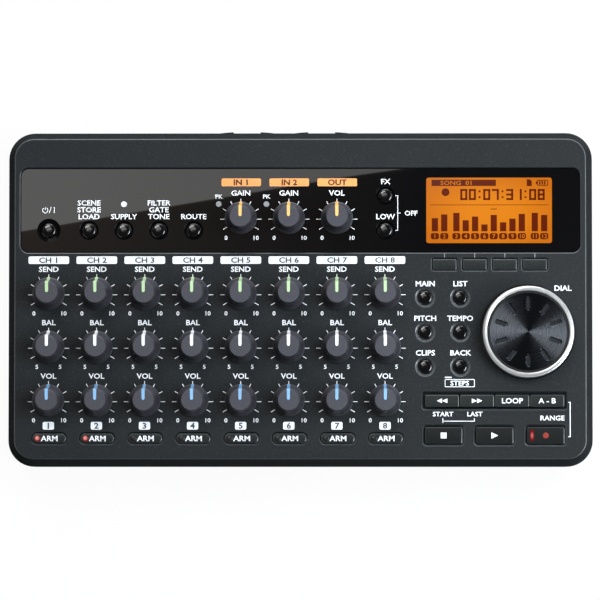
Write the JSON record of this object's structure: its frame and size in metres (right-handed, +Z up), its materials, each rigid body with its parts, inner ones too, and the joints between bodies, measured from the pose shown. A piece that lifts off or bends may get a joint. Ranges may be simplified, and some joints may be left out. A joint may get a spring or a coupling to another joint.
{
  "type": "multitrack recorder",
  "caption": "Flat desktop audio recorder with rows of track knobs, a glossy window with an orange display, a slotted data wheel, transport keys and rear sockets.",
  "frame": {"origin": "centre of the base, on the table under the case", "axes": "+X to the operator's right, +Y to the rear sockets, +Z up"},
  "size_m": [0.222, 0.1275, 0.0445],
  "materials": {
    "case_plastic": "fine satin grain",
    "window_plastic": "high gloss",
    "display": "lit, glossy",
    "board": "solder mask",
    "metal": "plated",
    "socket_plastic": "satin",
    "rubber": "matte",
    "screw_steel": "blackened",
    "wheel_plastic": "spun, glossy",
    "ring_metal": "satin",
    "button_gloss": "glossy",
    "key_plastic": "satin",
    "knob_plastic": "satin"
  },
  "bodies": {
    "case": {"top_case": "case_plastic", "bottom_case": "case_plastic", "rear_panel": "case_plastic", "window_panel": "window_plastic", "display_module": "display", "circuit_boards": "board", "rotary_controls": "metal", "tact_switches": "metal", "xlr_sockets": "socket_plastic", "phone_jacks": "socket_plastic", "mini_jacks": "socket_plastic", "port_sockets": "metal", "microphone_capsules": "metal", "battery_contacts": "metal", "rubber_feet": "rubber", "screws": "screw_steel"},
    "data_wheel": {"data_wheel": "wheel_plastic", "data_wheel_ring": "ring_metal"},
    "battery_door": {"battery_door": "case_plastic"},
    "card_door": {"card_door": "case_plastic"},
    "input_a_trim_knob": {"input_a_trim_knob": "knob_plastic"},
    "input_b_trim_knob": {"input_b_trim_knob": "knob_plastic"},
    "master_level_knob": {"master_level_knob": "knob_plastic"},
    "track_1_reverb_knob": {"track_1_reverb_knob": "knob_plastic"},
    "track_1_pan_knob": {"track_1_pan_knob": "knob_plastic"},
    "track_1_level_knob": {"track_1_level_knob": "knob_plastic"},
    "track_2_reverb_knob": {"track_2_reverb_knob": "knob_plastic"},
    "track_2_pan_knob": {"track_2_pan_knob": "knob_plastic"},
    "track_2_level_knob": {"track_2_level_knob": "knob_plastic"},
    "track_3_reverb_knob": {"track_3_reverb_knob": "knob_plastic"},
    "track_3_pan_knob": {"track_3_pan_knob": "knob_plastic"},
    "track_3_level_knob": {"track_3_level_knob": "knob_plastic"},
    "track_4_reverb_knob": {"track_4_reverb_knob": "knob_plastic"},
    "track_4_pan_knob": {"track_4_pan_knob": "knob_plastic"},
    "track_4_level_knob": {"track_4_level_knob": "knob_plastic"},
    "track_5_reverb_knob": {"track_5_reverb_knob": "knob_plastic"},
    "track_5_pan_knob": {"track_5_pan_knob": "knob_plastic"},
    "track_5_level_knob": {"track_5_level_knob": "knob_plastic"},
    "track_6_reverb_knob": {"track_6_reverb_knob": "knob_plastic"},
    "track_6_pan_knob": {"track_6_pan_knob": "knob_plastic"},
    "track_6_level_knob": {"track_6_level_knob": "knob_plastic"},
    "track_7_reverb_knob": {"track_7_reverb_knob": "knob_plastic"},
    "track_7_pan_knob": {"track_7_pan_knob": "knob_plastic"},
    "track_7_level_knob": {"track_7_level_knob": "knob_plastic"},
    "track_8_reverb_knob": {"track_8_reverb_knob": "knob_plastic"},
    "track_8_pan_knob": {"track_8_pan_knob": "knob_plastic"},
    "track_8_level_knob": {"track_8_level_knob": "knob_plastic"},
    "power_button": {"power_button": "button_gloss"},
    "setup_buttons": {"setup_buttons": "button_gloss"},
    "mute_buttons": {"mute_buttons": "button_gloss"},
    "menu_buttons": {"menu_buttons": "button_gloss"},
    "function_buttons": {"function_buttons": "key_plastic"},
    "rewind_button": {"rewind_button": "key_plastic"},
    "forward_button": {"forward_button": "key_plastic"},
    "repeat_button": {"repeat_button": "key_plastic"},
    "in_out_button": {"in_out_button": "key_plastic"},
    "stop_button": {"stop_button": "key_plastic"},
    "play_button": {"play_button": "key_plastic"},
    "record_button": {"record_button": "key_plastic"},
    "rec_arm_buttons": {"rec_arm_buttons": "key_plastic"}
  },
  "joints": [
    {"name": "battery_door_hinge", "type": "hinge", "parent": "case", "child": "battery_door", "pos_m": [0, 0.00885, 0.00315], "axis": [1, 0, 0], "range_deg": [0, 90]},
    {"name": "card_door_hinge", "type": "hinge", "parent": "case", "child": "card_door", "pos_m": [0.1103, 0.009, 0.0166], "axis": [0, 1, 0], "range_deg": [0, 95]},
    {"name": "data_wheel_turn", "type": "hinge", "parent": "case", "child": "data_wheel", "pos_m": [0.0861, -0.0126, 0.033], "axis": [0, 0, 1], "continuous": true},
    {"name": "input_a_trim_knob_turn", "type": "hinge", "parent": "case", "child": "input_a_trim_knob", "pos_m": [-0.0225, 0.0307, 0.0335], "axis": [0, 0, 1], "range_deg": [-150, 150]},
    {"name": "input_b_trim_knob_turn", "type": "hinge", "parent": "case", "child": "input_b_trim_knob", "pos_m": [-0.0043, 0.0307, 0.0335], "axis": [0, 0, 1], "range_deg": [-150, 150]},
    {"name": "master_level_knob_turn", "type": "hinge", "parent": "case", "child": "master_level_knob", "pos_m": [0.0139, 0.0307, 0.0335], "axis": [0, 0, 1], "range_deg": [-150, 150]},
    {"name": "track_1_reverb_knob_turn", "type": "hinge", "parent": "case", "child": "track_1_reverb_knob", "pos_m": [-0.0953, 0.0021, 0.0335], "axis": [0, 0, 1], "range_deg": [-150, 150]},
    {"name": "track_1_pan_knob_turn", "type": "hinge", "parent": "case", "child": "track_1_pan_knob", "pos_m": [-0.0953, -0.01815, 0.0335], "axis": [0, 0, 1], "range_deg": [-150, 150]},
    {"name": "track_1_level_knob_turn", "type": "hinge", "parent": "case", "child": "track_1_level_knob", "pos_m": [-0.0953, -0.0384, 0.0335], "axis": [0, 0, 1], "range_deg": [-150, 150]},
    {"name": "track_2_reverb_knob_turn", "type": "hinge", "parent": "case", "child": "track_2_reverb_knob", "pos_m": [-0.0771, 0.0021, 0.0335], "axis": [0, 0, 1], "range_deg": [-150, 150]},
    {"name": "track_2_pan_knob_turn", "type": "hinge", "parent": "case", "child": "track_2_pan_knob", "pos_m": [-0.0771, -0.01815, 0.0335], "axis": [0, 0, 1], "range_deg": [-150, 150]},
    {"name": "track_2_level_knob_turn", "type": "hinge", "parent": "case", "child": "track_2_level_knob", "pos_m": [-0.0771, -0.0384, 0.0335], "axis": [0, 0, 1], "range_deg": [-150, 150]},
    {"name": "track_3_reverb_knob_turn", "type": "hinge", "parent": "case", "child": "track_3_reverb_knob", "pos_m": [-0.0589, 0.0021, 0.0335], "axis": [0, 0, 1], "range_deg": [-150, 150]},
    {"name": "track_3_pan_knob_turn", "type": "hinge", "parent": "case", "child": "track_3_pan_knob", "pos_m": [-0.0589, -0.01815, 0.0335], "axis": [0, 0, 1], "range_deg": [-150, 150]},
    {"name": "track_3_level_knob_turn", "type": "hinge", "parent": "case", "child": "track_3_level_knob", "pos_m": [-0.0589, -0.0384, 0.0335], "axis": [0, 0, 1], "range_deg": [-150, 150]},
    {"name": "track_4_reverb_knob_turn", "type": "hinge", "parent": "case", "child": "track_4_reverb_knob", "pos_m": [-0.0407, 0.0021, 0.0335], "axis": [0, 0, 1], "range_deg": [-150, 150]},
    {"name": "track_4_pan_knob_turn", "type": "hinge", "parent": "case", "child": "track_4_pan_knob", "pos_m": [-0.0407, -0.01815, 0.0335], "axis": [0, 0, 1], "range_deg": [-150, 150]},
    {"name": "track_4_level_knob_turn", "type": "hinge", "parent": "case", "child": "track_4_level_knob", "pos_m": [-0.0407, -0.0384, 0.0335], "axis": [0, 0, 1], "range_deg": [-150, 150]},
    {"name": "track_5_reverb_knob_turn", "type": "hinge", "parent": "case", "child": "track_5_reverb_knob", "pos_m": [-0.0225, 0.0021, 0.0335], "axis": [0, 0, 1], "range_deg": [-150, 150]},
    {"name": "track_5_pan_knob_turn", "type": "hinge", "parent": "case", "child": "track_5_pan_knob", "pos_m": [-0.0225, -0.01815, 0.0335], "axis": [0, 0, 1], "range_deg": [-150, 150]},
    {"name": "track_5_level_knob_turn", "type": "hinge", "parent": "case", "child": "track_5_level_knob", "pos_m": [-0.0225, -0.0384, 0.0335], "axis": [0, 0, 1], "range_deg": [-150, 150]},
    {"name": "track_6_reverb_knob_turn", "type": "hinge", "parent": "case", "child": "track_6_reverb_knob", "pos_m": [-0.0043, 0.0021, 0.0335], "axis": [0, 0, 1], "range_deg": [-150, 150]},
    {"name": "track_6_pan_knob_turn", "type": "hinge", "parent": "case", "child": "track_6_pan_knob", "pos_m": [-0.0043, -0.01815, 0.0335], "axis": [0, 0, 1], "range_deg": [-150, 150]},
    {"name": "track_6_level_knob_turn", "type": "hinge", "parent": "case", "child": "track_6_level_knob", "pos_m": [-0.0043, -0.0384, 0.0335], "axis": [0, 0, 1], "range_deg": [-150, 150]},
    {"name": "track_7_reverb_knob_turn", "type": "hinge", "parent": "case", "child": "track_7_reverb_knob", "pos_m": [0.0139, 0.0021, 0.0335], "axis": [0, 0, 1], "range_deg": [-150, 150]},
    {"name": "track_7_pan_knob_turn", "type": "hinge", "parent": "case", "child": "track_7_pan_knob", "pos_m": [0.0139, -0.01815, 0.0335], "axis": [0, 0, 1], "range_deg": [-150, 150]},
    {"name": "track_7_level_knob_turn", "type": "hinge", "parent": "case", "child": "track_7_level_knob", "pos_m": [0.0139, -0.0384, 0.0335], "axis": [0, 0, 1], "range_deg": [-150, 150]},
    {"name": "track_8_reverb_knob_turn", "type": "hinge", "parent": "case", "child": "track_8_reverb_knob", "pos_m": [0.0321, 0.0021, 0.0335], "axis": [0, 0, 1], "range_deg": [-150, 150]},
    {"name": "track_8_pan_knob_turn", "type": "hinge", "parent": "case", "child": "track_8_pan_knob", "pos_m": [0.0321, -0.01815, 0.0335], "axis": [0, 0, 1], "range_deg": [-150, 150]},
    {"name": "track_8_level_knob_turn", "type": "hinge", "parent": "case", "child": "track_8_level_knob", "pos_m": [0.0321, -0.0384, 0.0335], "axis": [0, 0, 1], "range_deg": [-150, 150]},
    {"name": "power_button_press", "type": "slide", "parent": "case", "child": "power_button", "axis": [0, 0, -1], "range_m": [0, 0.0006], "stiffness_N_per_m": 600},
    {"name": "setup_buttons_press", "type": "slide", "parent": "case", "child": "setup_buttons", "axis": [0, 0, -1], "range_m": [0, 0.0006], "stiffness_N_per_m": 600},
    {"name": "mute_buttons_press", "type": "slide", "parent": "case", "child": "mute_buttons", "axis": [0, 0, -1], "range_m": [0, 0.0006], "stiffness_N_per_m": 600},
    {"name": "menu_buttons_press", "type": "slide", "parent": "case", "child": "menu_buttons", "axis": [0, 0, -1], "range_m": [0, 0.0006], "stiffness_N_per_m": 600},
    {"name": "function_buttons_press", "type": "slide", "parent": "case", "child": "function_buttons", "axis": [0, 0, -1], "range_m": [0, 0.0006], "stiffness_N_per_m": 600},
    {"name": "rewind_button_press", "type": "slide", "parent": "case", "child": "rewind_button", "axis": [0, 0, -1], "range_m": [0, 0.0006], "stiffness_N_per_m": 600},
    {"name": "forward_button_press", "type": "slide", "parent": "case", "child": "forward_button", "axis": [0, 0, -1], "range_m": [0, 0.0006], "stiffness_N_per_m": 600},
    {"name": "repeat_button_press", "type": "slide", "parent": "case", "child": "repeat_button", "axis": [0, 0, -1], "range_m": [0, 0.0006], "stiffness_N_per_m": 600},
    {"name": "in_out_button_press", "type": "slide", "parent": "case", "child": "in_out_button", "axis": [0, 0, -1], "range_m": [0, 0.0006], "stiffness_N_per_m": 600},
    {"name": "stop_button_press", "type": "slide", "parent": "case", "child": "stop_button", "axis": [0, 0, -1], "range_m": [0, 0.0006], "stiffness_N_per_m": 600},
    {"name": "play_button_press", "type": "slide", "parent": "case", "child": "play_button", "axis": [0, 0, -1], "range_m": [0, 0.0006], "stiffness_N_per_m": 600},
    {"name": "record_button_press", "type": "slide", "parent": "case", "child": "record_button", "axis": [0, 0, -1], "range_m": [0, 0.0006], "stiffness_N_per_m": 600},
    {"name": "rec_arm_buttons_press", "type": "slide", "parent": "case", "child": "rec_arm_buttons", "axis": [0, 0, -1], "range_m": [0, 0.0006], "stiffness_N_per_m": 600}
  ]
}
